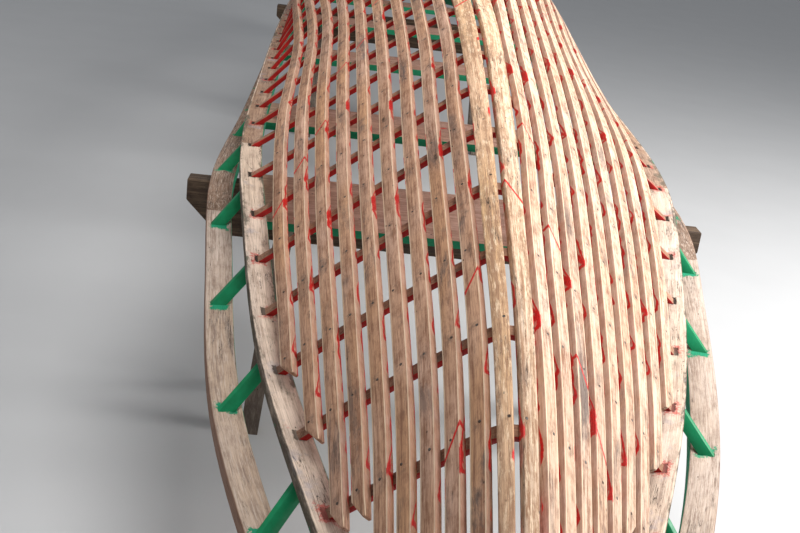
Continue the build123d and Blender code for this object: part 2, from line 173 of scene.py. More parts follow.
def lay_grain(piece, seed, flat=False):
    """Writes where each point lies on the piece, as two attributes.

    grain holds metres across, along and through the timber. lie holds the
    share across (-1 inboard to 1 outboard), the share of the thickness (0 at
    the inner face, 1 at the outer) and the rib bay. A flat piece is a rail,
    whose corners are those of its section.
    """
    points, rows = corners(piece)
    y = points[:, 1]
    col = [np.interp(y, rows[:, 0], rows[:, i]) for i in range(1, 9)]
    steps = np.hypot(np.diff(rows[:, 0]), np.diff(rows[:, 8]))
    along = np.interp(y, rows[:, 0], np.concatenate([[0], np.cumsum(steps)]))
    p = np.stack([np.abs(points[:, 0]), points[:, 2]], 1)
    if flat:
        middle = np.stack([(col[4] + col[6]) / 2, (col[5] + col[7]) / 2], 1)
        half = np.stack([(col[6] - col[4]) / 2, (col[7] - col[5]) / 2], 1)
        place = p - middle
        share = place / np.maximum(half, 1e-4)
        across, through = place[:, 0], place[:, 1]
        g, f = share[:, 0], (share[:, 1] + 1) / 2
    else:
        one, two = np.stack(col[0:2], 1), np.stack(col[2:4], 1)
        width = np.linalg.norm(two - one, axis=1)
        side = (two - one) / width[:, None]
        out = np.stack([-side[:, 1], side[:, 0]], 1)
        place = p - (one + two) / 2
        across = (place * side).sum(1)
        through = (place * out).sum(1)
        g = across / (width / 2)
        f = 1 + through / -np.minimum(through.min(), -LEAST_THICKNESS)
    met = [] if flat else crossings(rows)
    if met:
        number, _, place_y = np.array(met).T
        ahead, behind = np.minimum(y - place_y[0], 0), np.maximum(y - place_y[-1], 0)
        bay = np.interp(y, place_y, number) + (ahead + behind) / RIB_PITCH
    else:
        bay = along / RIB_PITCH
    for name, value in (
        ("grain", np.stack([across, along + seed * GRAIN_SHIFT, through], 1)),
        ("lie", np.stack([g, f, bay + seed * BAY_SHIFT], 1)),
    ):
        layer = piece.data.attributes.new(name, "FLOAT_VECTOR", "POINT")
        layer.data.foreach_set("vector", value.astype(np.float32).ravel())
    return rows, met


class Nodes:
    """Short words for adding and joining shader nodes."""

    def __init__(self, tree):
        self.tree = tree

    def add(self, kind, **settings):
        node = self.tree.nodes.new("ShaderNode" + kind)
        for key, value in settings.items():
            setattr(node, key, value)
        return node

    def put(self, socket, value):
        if isinstance(value, bpy.types.NodeSocket):
            self.tree.links.new(value, socket)
        else:
            socket.default_value = value

    def math(self, operation, a, b=0.0, c=0.0, clamp=False):
        node = self.add("Math", operation=operation, use_clamp=clamp)
        for socket, value in zip(node.inputs, (a, b, c)):
            self.put(socket, value)
        return node.outputs[0]

    def ramp(self, value, low, high, to_low=0.0, to_high=1.0):
        node = self.add("MapRange")
        for key, item in (
            ("Value", value),
            ("From Min", low),
            ("From Max", high),
            ("To Min", to_low),
            ("To Max", to_high),
        ):
            self.put(node.inputs[key], item)
        return node.outputs[0]

    def mix(self, factor, a, b, blend="MIX"):
        node = self.add("Mix", data_type="RGBA", blend_type=blend)
        self.put(node.inputs["Factor"], factor)
        self.put(node.inputs[6], a)
        self.put(node.inputs[7], b)
        return node.outputs[2]

    def scaled(self, vector, scale):
        node = self.add("VectorMath", operation="MULTIPLY")
        self.put(node.inputs[0], vector)
        node.inputs[1].default_value = scale
        return node.outputs[0]

    def noise(self, vector, scale, detail=4.0, roughness=0.55, distortion=0.0):
        node = self.add("TexNoise")
        self.put(node.inputs["Vector"], vector)
        node.inputs["Scale"].default_value = scale
        node.inputs["Detail"].default_value = detail
        node.inputs["Roughness"].default_value = roughness
        node.inputs["Distortion"].default_value = distortion
        return node.outputs[0]

    def split(self, vector):
        node = self.add("SeparateXYZ")
        self.put(node.inputs[0], vector)
        return node.outputs

    def join(self, x, y, z):
        node = self.add("CombineXYZ")
        for socket, value in zip(node.inputs, (x, y, z)):
            self.put(socket, value)
        return node.outputs[0]


def shared_group(name, ins, outs):
    """An empty node group with its sockets, and its two end nodes."""
    tree = bpy.data.node_groups.new(name, "ShaderNodeTree")
    kinds = {"v": "NodeSocketVector", "f": "NodeSocketFloat", "c": "NodeSocketColor"}
    for socket, kind, value in ins:
        made = tree.interface.new_socket(socket, in_out="INPUT", socket_type=kinds[kind])
        if value is not None:
            made.default_value = value
    for socket, kind in outs:
        tree.interface.new_socket(socket, in_out="OUTPUT", socket_type=kinds[kind])
    n = Nodes(tree)
    start = tree.nodes.new("NodeGroupInput")
    end = tree.nodes.new("NodeGroupOutput")
    return n, start.outputs, end.inputs


def use_group(n, name, **values):
    """Places a shared group in a material with its values."""
    node = n.tree.nodes.new("ShaderNodeGroup")
    node.node_tree = bpy.data.node_groups[name]
    for key, value in values.items():
        n.put(node.inputs[key.replace("_", " ")], value)
    return node.outputs


# Bare sawn timber: fine pores, growth streaks, warm and pink lengths, knots
# with their rings, specks, fine checks and grey weathering. Height is for bump.
KNOT_BLACK = (0.028, 0.014, 0.008, 1)
n, i, o = shared_group(
    "bare timber",
    [
        ("Place", "v", None),
        ("Pale", "c", (0.6, 0.4, 0.28, 1)),
        ("Warm", "c", (0.5, 0.28, 0.15, 1)),
        ("Dark", "c", (0.3, 0.17, 0.1, 1)),
        ("Grey", "c", (0.2, 0.17, 0.14, 1)),
        ("Weather", "f", 0.4),
        ("Bands", "f", 0.5),
        ("Knots", "f", 0.5),
        ("Checks", "f", 0.3),
    ],
    [("Color", "c"), ("Roughness", "f"), ("Height", "f")],
)
long_way = n.scaled(i["Place"], (1.0, 0.035, 1.0))
pores = n.noise(long_way, 700, 5, 0.65)
streaks = n.noise(long_way, 230, 5, 0.6)
bands = n.noise(n.scaled(i["Place"], (1.0, 0.02, 1.0)), 90, 3, 0.5, 0.8)
lengths = n.noise(n.scaled(i["Place"], (1, 0.35, 1)), 4.5, 4, 0.55)
dapple = n.noise(n.scaled(i["Place"], (1, 0.5, 1)), 42, 6, 0.72)
patch = n.noise(n.scaled(i["Place"], (1, 0.3, 1)), 15, 8, 0.72, 0.5)

cell = n.add("TexVoronoi", feature="F1")
n.put(cell.inputs["Vector"], n.scaled(i["Place"], (1, 0.34, 0.2)))
cell.inputs["Scale"].default_value = 7.5
wobble = n.noise(i["Place"], 130, 3, 0.5)
reach = n.math("MULTIPLY_ADD", wobble, 0.05, cell.outputs["Distance"])
knot = n.math("MULTIPLY", n.ramp(reach, 0.082, 0.05), i["Knots"], clamp=True)
rings = n.math("FRACT", n.math("MULTIPLY", reach, 55))
halo = n.math("MULTIPLY", n.ramp(reach, 0.22, 0.07), i["Knots"], clamp=True)
halo = n.math("MULTIPLY", halo, n.ramp(rings, 0.2, 0.9, 0.35, 0.75))

fleck = n.add("TexVoronoi", feature="F1")
n.put(fleck.inputs["Vector"], n.scaled(i["Place"], (1, 0.55, 1)))
fleck.inputs["Scale"].default_value = 85
chosen = n.ramp(n.split(fleck.outputs["Color"])[0], 0.88, 0.90)
fleck_off = n.math("MULTIPLY_ADD", wobble, 0.12, fleck.outputs["Distance"])
speck = n.math("MULTIPLY", n.ramp(fleck_off, 0.22, 0.13), chosen)

split_line = n.noise(n.scaled(i["Place"], (1.0, 0.07, 1.0)), 75, 4, 0.6, 0.6)
contour = n.math("ABSOLUTE", n.math("SUBTRACT", split_line, 0.5))
check = n.math("MULTIPLY", n.ramp(contour, 0.011, 0.004), n.ramp(patch, 0.50, 0.56))
check = n.math("MULTIPLY", check, i["Checks"], clamp=True)

tone = n.math("MULTIPLY", n.ramp(bands, 0.36, 0.64), i["Bands"])
tone = n.math("ADD", tone, n.ramp(pores, 0.56, 0.32, 0.0, 0.55))
tone = n.math("ADD", tone, n.ramp(streaks, 0.50, 0.70, 0.0, 0.55))
tone = n.math("ADD", tone, n.ramp(dapple, 0.46, 0.64, 0.0, 0.45), clamp=True)
wood = n.mix(n.ramp(lengths, 0.40, 0.60), i["Pale"], i["Warm"])
wood = n.mix(tone, wood, i["Dark"])
wood = n.mix(halo, wood, i["Dark"])
spell = n.noise(n.scaled(i["Place"], (0, 1, 0)), 3.2, 3, 0.6)
stain = n.math("MULTIPLY", n.ramp(patch, 0.53, 0.63), i["Weather"], clamp=True)
stain = n.math("MULTIPLY", stain, n.ramp(spell, 0.40, 0.60, 0.25, 1.0))
wood = n.mix(stain, wood, i["Grey"])
wood = n.mix(n.math("MAXIMUM", knot, n.math("MAXIMUM", check, speck)), wood, KNOT_BLACK)
n.put(o["Color"], wood)
n.put(o["Roughness"], n.ramp(pores, 0.3, 0.7, 0.86, 0.66))
rise = n.math("MULTIPLY_ADD", n.ramp(pores, 0.3, 0.65), 0.45, n.math("MULTIPLY", bands, 0.35))
rise = n.math("MULTIPLY_ADD", n.ramp(streaks, 0.7, 0.4), 0.3, rise)
sunk = n.math("MULTIPLY", n.math("MAXIMUM", knot, check), 0.6)
n.put(o["Height"], n.math("SUBTRACT", rise, sunk))


def finish_material(name, color, roughness, height, depth=0.0006):
    """A material whose shader takes the colour, gloss and relief given."""
    material = bpy.data.materials[name]
    tree = material.node_tree
    n = Nodes(tree)
    shader = next(node for node in tree.nodes if node.type == "BSDF_PRINCIPLED")
    shader.inputs["Specular IOR Level"].default_value = 0.32
    n.put(shader.inputs["Base Color"], color)
    n.put(shader.inputs["Roughness"], roughness)
    bump = n.add("Bump")
    bump.inputs["Strength"].default_value = 0.9
    bump.inputs["Distance"].default_value = depth
    n.put(bump.inputs["Height"], height)
    n.put(shader.inputs["Normal"], bump.outputs[0])
    return material


def new_material(name):
    """The nodes of a new material."""
    material = bpy.data.materials.new(name)
    material.use_nodes = True
    return Nodes(material.node_tree)


def attribute(n, name):
    """One of the attributes that lay_grain writes."""
    node = n.add("Attribute", attribute_name=name, attribute_type="GEOMETRY")
    return node.outputs["Vector"]


def wear_material(piece, material):
    """Gives a piece this material alone."""
    piece.data.materials.clear()
    piece.data.materials.append(material)


# The inside's red paint where it came round on the sides: a thin ragged line
# along the inner edge, slanting strokes from it up to the arris, the inner face
# itself, and at long intervals one thin line that slants across the piece.
n, i, o = shared_group(
    "paint runs",
    [("Place", "v", None), ("Lie", "v", None), ("Amount", "f", 0.5)],
    [("Mask", "f")],
)
g, f, _ = n.split(i["Lie"])
fine = n.noise(n.scaled(i["Place"], (1.0, 0.30, 1.0)), 150, 4, 0.65)
rough = n.math("SUBTRACT", fine, 0.5)
which_side = n.ramp(g, -0.5, 0.5, 0.0, 3.0)
leaning = n.math("MULTIPLY_ADD", f, 0.035, n.split(i["Place"])[1])
runs = n.noise(n.join(which_side, leaning, 0.0), 7.5, 2, 0.5)
runs = n.math("MULTIPLY", n.ramp(runs, 0.46, 0.70, 0.0, 1.5), i["Amount"])
thin = n.ramp(n.noise(n.scaled(i["Place"], (0.0, 1.0, 0.0)), 6, 3, 0.6), 0.36, 0.62, 0.04, 0.36)
level = n.math("MULTIPLY_ADD", rough, 0.40, n.math("MAXIMUM", runs, thin))
side = n.ramp(n.math("ABSOLUTE", g), 0.86, 0.90)
below = n.math("SUBTRACT", level, f)
stroke = n.math("MULTIPLY", n.ramp(below, -0.01, 0.04), n.ramp(below, 0.38, 0.30))
thin_below = n.math("SUBTRACT", n.math("MULTIPLY_ADD", rough, 0.3, thin), f)
inner_line = n.ramp(thin_below, -0.02, 0.04)
on_side = n.math("MULTIPLY", side, n.math("MAXIMUM", stroke, inner_line))
under = n.ramp(f, 0.10, 0.04)
spill = n.math("MULTIPLY_ADD", rough, 0.35, n.math("ABSOLUTE", g))
over = n.math("MULTIPLY", n.ramp(spill, 0.93, 0.97), n.ramp(level, 0.85, 1.05))
lapped = n.math("MAXIMUM", on_side, n.math("MAXIMUM", under, over))
slant = n.math("MULTIPLY_ADD", n.split(i["Place"])[0], 1.6, n.split(i["Place"])[1])
spacing = n.math("FRACT", n.math("MULTIPLY", slant, 0.43))
off_line = n.math("ABSOLUTE", n.math("SUBTRACT", spacing, 0.5))
line = n.ramp(n.math("MULTIPLY_ADD", rough, 0.0030, off_line), 0.0022, 0.0016)
n.put(o["Mask"], n.math("MAXIMUM", lapped, line, clamp=True))


def lath_material(name, pale, warm):
    """Lath timber of one paleness, with worn arrises carrying a painted highlight, and run
    paint.
    """
    n = new_material(name)
    place, lie = attribute(n, "grain"), attribute(n, "lie")
    wood = use_group(
        n,
        "bare timber",
        Place=place,
        Pale=pale,
        Warm=warm,
        Dark=LATH_DARK,
        Grey=LATH_GREY,
        Weather=0.8,
        Bands=0.34,
        Knots=0.9,
        Checks=0.5,
    )
    g, f, bay = n.split(lie)
    from_middle = n.math("ABSOLUTE", g)
    side = n.ramp(from_middle, 0.90, 0.96)
    fresh = n.mix(n.ramp(n.noise(place, 35, 4, 0.6), 0.35, 0.65), FRESH_PINK, FRESH_BROWN)
    color = n.mix(n.math("MULTIPLY", side, 0.5), wood["Color"], fresh)
    nicked = n.noise(n.scaled(place, (1, 0.25, 1)), 90, 4, 0.6)
    # A cream line along both arrises of the outer face: edge wear with a painted highlight.
    off_arris = n.math("ABSOLUTE", n.math("SUBTRACT", from_middle, 0.90))
    near_arris = n.math("SUBTRACT", 1.0, off_arris)
    arris = n.ramp(n.math("MULTIPLY_ADD", nicked, 0.14, near_arris), 0.99, 1.04)
    arris = n.math("MULTIPLY", arris, n.ramp(f, 0.80, 0.90, 0.0, 0.85))
    color = n.mix(arris, color, CREAM_WEAR_AND_HIGHLIGHT)
    nail_off = n.math("ABSOLUTE", n.math("SUBTRACT", bay, n.math("ROUND", bay)))
    blotch = n.ramp(n.noise(place, 55, 5, 0.7), 0.46, 0.62)
    sooty = n.math("MULTIPLY", n.ramp(nail_off, 0.11, 0.02), blotch)
    sooty = n.math("MULTIPLY", sooty, n.ramp(from_middle, 0.75, 0.25))
    color = n.mix(n.math("MULTIPLY", sooty, 0.7), color, NAIL_SOOT)
    red = use_group(n, "paint runs", Place=place, Lie=lie, Amount=0.95)["Mask"]
    dried = n.ramp(n.noise(place, 240, 3, 0.5), 0.3, 0.7, 0.65, 1.1)
    paint = n.mix(1.0, LATH_RED, n.join(dried, dried, dried), "MULTIPLY")
    color = n.mix(red, color, paint)
    return finish_material(
        name,
        color,
        n.mix(red, wood["Roughness"], LATH_RED_ROUGHNESS),
        n.math("MULTIPLY_ADD", red, 0.25, wood["Height"]),
        LATH_BUMP,
    )


# The right half lies towards the light; its laths get a paler copy of the same timber, painted
# light standing for the lamp on that side.
brown_laths = lath_material(
    "brown laths", pale=(0.68, 0.43, 0.31, 1), warm=(0.62, 0.345, 0.19, 1)
)
lit_side_laths = lath_material(
    "lit side laths", pale=(0.80, 0.61, 0.475, 1), warm=(0.76, 0.54, 0.38, 1)
)


def nail_head():
    """One flat nail head with a chamfered rim, as a mesh."""
    bpy.ops.object.select_all(action="DESELECT")
    bpy.ops.mesh.primitive_cylinder_add(
        vertices=10, radius=NAIL_RADIUS, depth=NAIL_DEPTH, location=(0, 0, 0)
    )
    head = bpy.context.active_object
    bpy.ops.object.mode_set(mode="EDIT")
    bpy.ops.mesh.select_mode(type="FACE")
    bpy.ops.mesh.select_all(action="DESELECT")
    form = bmesh.from_edit_mesh(head.data)
    for face in form.faces:
        face.select_set(face.normal.z > 0.9)
    bmesh.update_edit_mesh(head.data)
    bpy.ops.mesh.inset(thickness=NAIL_RIM)
    bpy.ops.transform.translate(value=(0, 0, NAIL_RISE))
    bpy.ops.object.mode_set(mode="OBJECT")
    mesh = head.data
    bpy.data.objects.remove(head)
    return mesh


def nailed(name, head, places):
    """A joined row of nail heads, each on its place with its own turn."""
    points = np.array([vertex.co[:] for vertex in head.vertices])
    faces = [tuple(face.vertices) for face in head.polygons]
    all_points, all_faces = [], []
    for place, along, out in places:
        across = np.cross(along, out)
        first = len(all_points) * len(points)
        all_faces += [tuple(first + corner for corner in face) for face in faces]
        all_points.append(place + points @ np.array([across, along, out]))
    mesh = bpy.data.meshes.new(name)
    mesh.from_pydata(np.concatenate(all_points).tolist(), [], all_faces)
    piece = bpy.data.objects.new(name, mesh)
    scene.collection.objects.link(piece)
    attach(piece, "root")
    return piece


def nail_places(side, rows, met, rng, slip):
    """A nail in the strip's face at each rib, off its middle by up to the slip."""
    sign = -1 if side == "left" else 1
    spots = []
    one = np.stack([sign * rows[:, 1], rows[:, 0], rows[:, 2]], 1)
    two = np.stack([sign * rows[:, 3], rows[:, 0], rows[:, 4]], 1)
    middle = (one + two) / 2
    for _, at, _ in met:
        k = min(int(at), len(rows) - 2)
        along = middle[k + 1] - middle[k]
        place = middle[k] + along * (at - k)
        along = along / np.linalg.norm(along)
        across = (two[k] - one[k]) / np.linalg.norm(two[k] - one[k])
        out = np.cross(across, along)
        out *= np.sign(out[2]) / np.linalg.norm(out)
        place = place + across * rng.uniform(-slip, slip)
        place = place + along * rng.uniform(-NAIL_SLIP_ALONG, NAIL_SLIP_ALONG)
        spots.append((place, along, out))
    return spots


# The nails have flat heads of plain iron, dull in places and rusty in others.
n = new_material("nail iron")
obj = n.add("TexCoord").outputs["Object"]
rust = n.ramp(n.noise(obj, 260, 4, 0.7), 0.42, 0.58)
color = n.mix(rust, (0.10, 0.085, 0.075, 1), (0.055, 0.026, 0.014, 1))
nail_iron = finish_material("nail iron", color, n.ramp(rust, 0, 1, 0.45, 0.8), rust, 0.0002)
head = nail_head()
rng = np.random.default_rng(11)

hoop_planes = hoops()
for side in ("left", "right"):
    for number in range(1, LATHS_PER_SIDE + 1):
        node = "lath_%s_%d" % (side, number)
        lath = bare_copy(node, LATH_EDGE_WEAR)
        rows, met = lay_grain(lath, number + (RIGHT_SIDE_SEED if side == "right" else 0))
        # The right half's laths take the paler copy: painted light.
        wear_material(lath, lit_side_laths if side == "right" else brown_laths)
        nails = nailed("nails_" + node, head, nail_places(side, rows, met, rng, LATH_NAIL_SLIP))
        wear_material(nails, nail_iron)


# Keel boards
# Two heavier boards run side by side along the crown with a narrow gap, nailed
# to every rib. They took the most rubbing, so their grain stands out pale.
KEEL_EDGE_WEAR, KEEL_BUMP = 0.0018, 0.0013
KEEL_DARK, KEEL_GREY = (0.33, 0.185, 0.105, 1), (0.20, 0.155, 0.125, 1)
KEEL_RED_ROUGHNESS = (0.45, 0.45, 0.45, 1)
KEEL_SEEDS = {"left": 40, "right": 43}
KEEL_NAIL_SLIP = 0.009


def keel_material(name, pale, warm):
    """Keel board timber of one paleness, with its raised grain."""
    n = new_material(name)
    place, lie = attribute(n, "grain"), attribute(n, "lie")
    wood = use_group(
        n,
        "bare timber",
        Place=place,
        Pale=pale,
        Warm=warm,
        Dark=KEEL_DARK,
        Grey=KEEL_GREY,
        Weather=0.5,
        Bands=0.7,
        Knots=0.75,
        Checks=0.9,
    )
    worn = n.noise(n.scaled(place, (1, 0.2, 1)), 150, 5, 0.7)
    raised = n.ramp(worn, 0.52, 0.66, 0.0, 0.7)
    color = n.mix(raised, wood["Color"], CREAM_WEAR_AND_HIGHLIGHT)
    red = use_group(n, "paint runs", Place=place, Lie=lie, Amount=1.0)["Mask"]
    color = n.mix(red, color, LATH_RED)
    return finish_material(
        name,
        color,
        n.mix(red, wood["Roughness"], KEEL_RED_ROUGHNESS),
        n.math("MULTIPLY_ADD", worn, 0.9, wood["Height"]),
        KEEL_BUMP,
    )


# The right board gets a paler copy of the keel timber: painted light from the lamp on that
# side.
brown_keel = keel_material(
    "brown keel", pale=(0.74, 0.49, 0.32, 1), warm=(0.70, 0.44, 0.235, 1)
)
lit_side_keel = keel_material(
    "lit side keel", pale=(0.82, 0.64, 0.48, 1), warm=(0.80, 0.58, 0.39, 1)
)
for side in ("left", "right"):
    board = bare_copy("keel_board_" + side, KEEL_EDGE_WEAR)
    rows, met = lay_grain(board, KEEL_SEEDS[side])
    # The right board takes the paler copy: painted light.
    wear_material(board, lit_side_keel if side == "right" else brown_keel)
    spots = nail_places(side, rows, met, rng, KEEL_NAIL_SLIP)
    nails = nailed("nails_keel_board_" + side, head, spots)
    wear_material(nails, nail_iron)


# Ribs
# Steamed hoops of thin timber, bevelled to the hull and tenoned into the lower
# gunwale at both ends. Sides and inner faces are painted red, outer faces bare.
RIB_EDGE_WEAR = 0.0010
RIB_RED = (0.52, 0.014, 0.011, 1)
RIB_RED_ROUGHNESS = (0.45, 0.45, 0.45, 1)
CENTRE_BOW_Y, CENTRE_FULL_Y = -3.44, -1.9
CENTRE_BOW_Z, CENTRE_FULL_Z = 0.33, 0.80
MEAN_RADIUS = 0.55

# Where a point lies round the hull, for grain that follows the hoops, and
# which way is out of the hull there.
n, i, o = shared_group("round the hull", [("Place", "v", None)], [("Place", "v"), ("Out", "v")])
x, y, z = n.split(i["Place"])
centre = n.ramp(y, CENTRE_BOW_Y, CENTRE_FULL_Y, CENTRE_BOW_Z, CENTRE_FULL_Z)
rise = n.math("SUBTRACT", z, centre)
around = n.math("MULTIPLY", n.math("ARCTAN2", x, rise), MEAN_RADIUS)
radius = n.math("POWER", n.math("MULTIPLY_ADD", x, x, n.math("MULTIPLY", rise, rise)), 0.5)
n.put(o["Place"], n.join(y, around, radius))
n.put(o["Out"], n.join(n.math("DIVIDE", x, radius), 0.0, n.math("DIVIDE", rise, radius)))

n = new_material("rib timber")
coords = n.add("TexCoord").outputs
round_hull = use_group(n, "round the hull", Place=coords["Object"])
wood = use_group(
    n,
    "bare timber",
    Place=round_hull["Place"],
    Pale=(0.50, 0.285, 0.19, 1),
    Warm=(0.44, 0.235, 0.13, 1),
    Dark=(0.23, 0.115, 0.07, 1),
    Grey=(0.12, 0.10, 0.09, 1),
    Weather=0.6,
    Bands=0.5,
    Knots=0.1,
    Checks=0.3,
)
normal = coords["Normal"]
facing = n.add("VectorMath", operation="DOT_PRODUCT")
n.put(facing.inputs[0], normal)
n.put(facing.inputs[1], round_hull["Out"])
blot = n.noise(coords["Object"], 70, 4, 0.6)
bare = n.ramp(n.math("MULTIPLY_ADD", blot, 0.35, facing.outputs["Value"]), 0.72, 0.80)
shade = n.ramp(n.noise(coords["Object"], 30, 4, 0.6), 0.3, 0.7, 0.55, 1.1)
paint = n.mix(1.0, RIB_RED, n.join(shade, shade, shade), "MULTIPLY")
color = n.mix(bare, paint, wood["Color"])
roughness = n.mix(bare, RIB_RED_ROUGHNESS, wood["Roughness"])
rib_timber = finish_material("rib timber", color, roughness, wood["Height"])
for number in range(1, RIB_GROUPS + 1):
    ribs = bare_copy("ribs_%d" % number, RIB_EDGE_WEAR)
    wear_material(ribs, rib_timber)


# Lower gunwales
# The stouter rail that the ribs are let into, scarfed near the bow, where the
# newer length is paler. The mortises are chopped rough and have gone dark; the
# inner edge carries the green paint of the inside.
RIB_FIRST = -3.432
RAIL_EDGE_WEAR, RAIL_BUMP = 0.0030, 0.0015
RAIL_SEEDS = {"left": 50, "right": 53}
MORTISE_HALF_ALONG, MORTISE_HALF_ACROSS = 0.0103, 0.0066
RAIL_GREY = (0.17, 0.14, 0.13, 1)
RAIL_GRIME, RAIL_BLUE = (0.115, 0.10, 0.072, 1), (0.33, 0.30, 0.34, 1)
# RAIL_SIDE_SHADE is painted shade for the outer side face; RAIL_ARRIS_WEAR_AND_HIGHLIGHT is a
# worn arris with a painted highlight.
RAIL_SIDE_SHADE, RAIL_ARRIS_WEAR_AND_HIGHLIGHT = (0.115, 0.085, 0.062, 1), (0.84, 0.68, 0.54, 1)
MORTISE_RED, MORTISE_BLACK = (0.50, 0.035, 0.03, 1), (0.030, 0.017, 0.010, 1)
RAIL_GREEN = (0.012, 0.25, 0.13, 1)

# How far along the boat a point is from the nearest rib or strut.
n, i, o = shared_group(
    "near each fixing",
    [("Place", "v", None), ("First", "f", 0.0), ("Step", "f", 1.0)],
    [("Off", "f")],
)
y = n.split(i["Place"])[1]
count = n.math("DIVIDE", n.math("SUBTRACT", y, i["First"]), i["Step"])
off = n.math("SUBTRACT", count, n.math("ROUND", count))
n.put(o["Off"], n.math("ABSOLUTE", n.math("MULTIPLY", off, i["Step"])))


def rail_material(name, pale, warm, dark, weather):
    """Weathered rail timber, dark round its mortises, green inside, with painted shade on its
    outer side face and a painted highlight on its arris.
    """
    n = new_material(name)
    place, lie = attribute(n, "grain"), attribute(n, "lie")
    obj = n.add("TexCoord").outputs["Object"]
    wood = use_group(
        n,
        "bare timber",
        Place=place,
        Pale=pale,
        Warm=warm,
        Dark=dark,
        Grey=RAIL_GREY,
        Weather=weather,
        Bands=0.30,
        Knots=0.45,
        Checks=1.0,
    )
    g, f, _ = n.split(lie)
    across = n.math("ABSOLUTE", n.split(place)[0])
    off = use_group(n, "near each fixing", Place=obj, First=RIB_FIRST, Step=RIB_PITCH)["Off"]
    ragged = n.math("SUBTRACT", n.noise(obj, 190, 5, 0.7), 0.5)
    slot_edge = n.math(
        "MAXIMUM",
        n.math("SUBTRACT", off, MORTISE_HALF_ALONG),
        n.math("SUBTRACT", across, MORTISE_HALF_ACROSS),
    )
    rim = n.math("MULTIPLY_ADD", ragged, 0.012, slot_edge)
    on_top = n.ramp(f, 0.9, 0.97)
    dark_ring = n.math("MULTIPLY", n.ramp(rim, 0.0028, 0.0010), on_top)
    spread = n.math("MULTIPLY_ADD", ragged, 0.05, slot_edge)
    bleed = n.math("MULTIPLY", n.ramp(spread, 0.012, 0.003), 0.75)
    bleed = n.math("MULTIPLY", bleed, n.ramp(n.noise(obj, 9, 3, 0.6), 0.47, 0.53))

    mould = n.noise(n.scaled(place, (1, 0.35, 1)), 30, 8, 0.75)
    to_edge = n.math("POWER", n.math("ABSOLUTE", g), 3.0)
    grime = n.math("MULTIPLY_ADD", to_edge, 0.16, mould)
    grime = n.math("MULTIPLY", n.ramp(grime, 0.60, 0.70), 0.85)
    color = n.mix(grime, wood["Color"], RAIL_GRIME)
    blue = n.ramp(n.noise(place, 14, 4, 0.6), 0.60, 0.68, 0.0, 0.45)
    color = n.mix(blue, color, RAIL_BLUE)
    # The outer side face is painted dark: painted shade for the shadow that side lies in.
    outer = n.ramp(g, 0.90, 0.97)
    shaded = n.math("MULTIPLY", outer, n.ramp(mould, 0.38, 0.58, 0.25, 1.0))
    color = n.mix(shaded, color, RAIL_SIDE_SHADE)
    # A pale line along the top face's outer arris: worn edge with a painted highlight.
    off_arris = n.math("ABSOLUTE", n.math("SUBTRACT", g, 0.90))
    arris = n.math("MULTIPLY", n.ramp(off_arris, 0.07, 0.03), on_top)
    arris = n.math("MULTIPLY", arris, n.ramp(mould, 0.58, 0.40, 0.0, 0.8))
    color = n.mix(arris, color, RAIL_ARRIS_WEAR_AND_HIGHLIGHT)
    color = n.mix(bleed, color, MORTISE_RED)
    color = n.mix(dark_ring, color, MORTISE_BLACK)
    green_run = n.math("SUBTRACT", n.noise(n.scaled(place, (0, 1, 0)), 9, 4, 0.6), 0.5)
    inboard = n.math("MULTIPLY_ADD", green_run, 0.16, n.math("MULTIPLY", g, -1))
    inner = n.ramp(inboard, 0.955, 0.985)
    smear = n.math("MULTIPLY", outer, n.ramp(mould, 0.60, 0.66))
    green = n.math("MAXIMUM", inner, smear, clamp=True)
    color = n.mix(green, color, RAIL_GREEN)
    return finish_material(
        name,
        color,
        wood["Roughness"],
        n.math("SUBTRACT", wood["Height"], n.math("MULTIPLY", dark_ring, 1.5)),
        RAIL_BUMP,
    )


rail_pale = rail_material(
    "pale rail",
    pale=(0.80, 0.66, 0.56, 1),
    warm=(0.74, 0.58, 0.44, 1),
    dark=(0.40, 0.29, 0.22, 1),
    weather=0.55,
)
rail_brown = rail_material(
    "brown rail",
    pale=(0.46, 0.32, 0.235, 1),
    warm=(0.42, 0.26, 0.16, 1),
    dark=(0.20, 0.115, 0.075, 1),
    weather=0.7,
)
for side in ("left", "right"):
    for node, material in (
        ("lower_gunwale_bow_" + side, rail_pale),
        ("lower_gunwale_" + side, rail_brown),
    ):
        rail = bare_copy(node, RAIL_EDGE_WEAR)
        lay_grain(rail, RAIL_SEEDS[side], flat=True)
        wear_material(rail, material)


# Upper gunwales
# The broader outer rail, scarfed near the bow and lowest as the boat lies. It is
# silvery and close grained, with green splashed round the foot of every strut.
STRUT_FIRST, STRUT_STEP = -3.043, 0.307
STRUT_HALF_ALONG, STRUT_HALF_ACROSS = 0.007, 0.017
OUTER_EDGE_WEAR, OUTER_BUMP = 0.0030, 0.0014
OUTER_SEEDS = {"left": 60, "right": 63}
OUTER_GREY, OUTER_SILVER = (0.15, 0.125, 0.115, 1), (0.62, 0.52, 0.44, 1)
OUTER_RUST, OUTER_GRIME = (0.24, 0.105, 0.055, 1), (0.12, 0.10, 0.078, 1)
SPLASH_GREEN = (0.008, 0.25, 0.125, 1)


